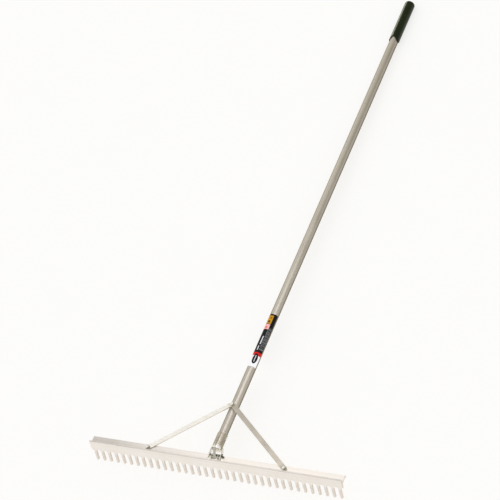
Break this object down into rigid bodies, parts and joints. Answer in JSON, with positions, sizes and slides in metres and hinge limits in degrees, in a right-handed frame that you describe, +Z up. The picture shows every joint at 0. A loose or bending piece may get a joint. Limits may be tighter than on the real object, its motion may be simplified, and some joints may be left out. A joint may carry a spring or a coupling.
{
  "type": "landscape rake",
  "caption": "Wide straight aluminium rake head with short square teeth, on a long tube handle held by a forked socket and two flat braces, with a soft end grip.",
  "frame": {"origin": "on the floor under the middle of the tool's box, as it lies on its tooth tips and the end of its grip", "axes": "+X along the head, +Y along the handle from the head to the grip, +Z up"},
  "size_m": [0.9144, 1.8648, 0.0918],
  "materials": {
    "head_aluminium": "mill-finish extruded aluminium, satin, lightly scratched along its length",
    "tube_aluminium": "warm grey satin coated aluminium tube",
    "grip_vinyl": "glossy dark green-black soft vinyl",
    "label_film": "printed film in plain colour blocks",
    "brace_aluminium": "rolled flat aluminium bar, satin",
    "plated_steel": "zinc-plated pressed steel, dulled to olive brown on the sleeve and bright on the fork",
    "zinc_steel": "dull zinc-plated steel",
    "dark_steel": "black oxide steel, lightly oiled"
  },
  "bodies": {
    "root": {"rake_head": "head_aluminium", "handle_tube": "tube_aluminium", "grip": "grip_vinyl", "label": "label_film", "brace_left": "brace_aluminium", "brace_right": "brace_aluminium", "brace_bolt": "zinc_steel", "brace_bolt_washer": "zinc_steel", "brace_bolt_nut": "zinc_steel", "brace_end_bolts": "zinc_steel", "brace_end_washers": "zinc_steel", "brace_end_nut_washers": "zinc_steel", "brace_end_nuts": "zinc_steel", "socket_bracket": "plated_steel", "bracket_bolts": "zinc_steel", "bracket_washers": "zinc_steel", "bracket_nuts": "zinc_steel", "clamp_bolt": "zinc_steel", "clamp_nut": "dark_steel", "socket_rivet": "zinc_steel"}
  },
  "joints": []
}
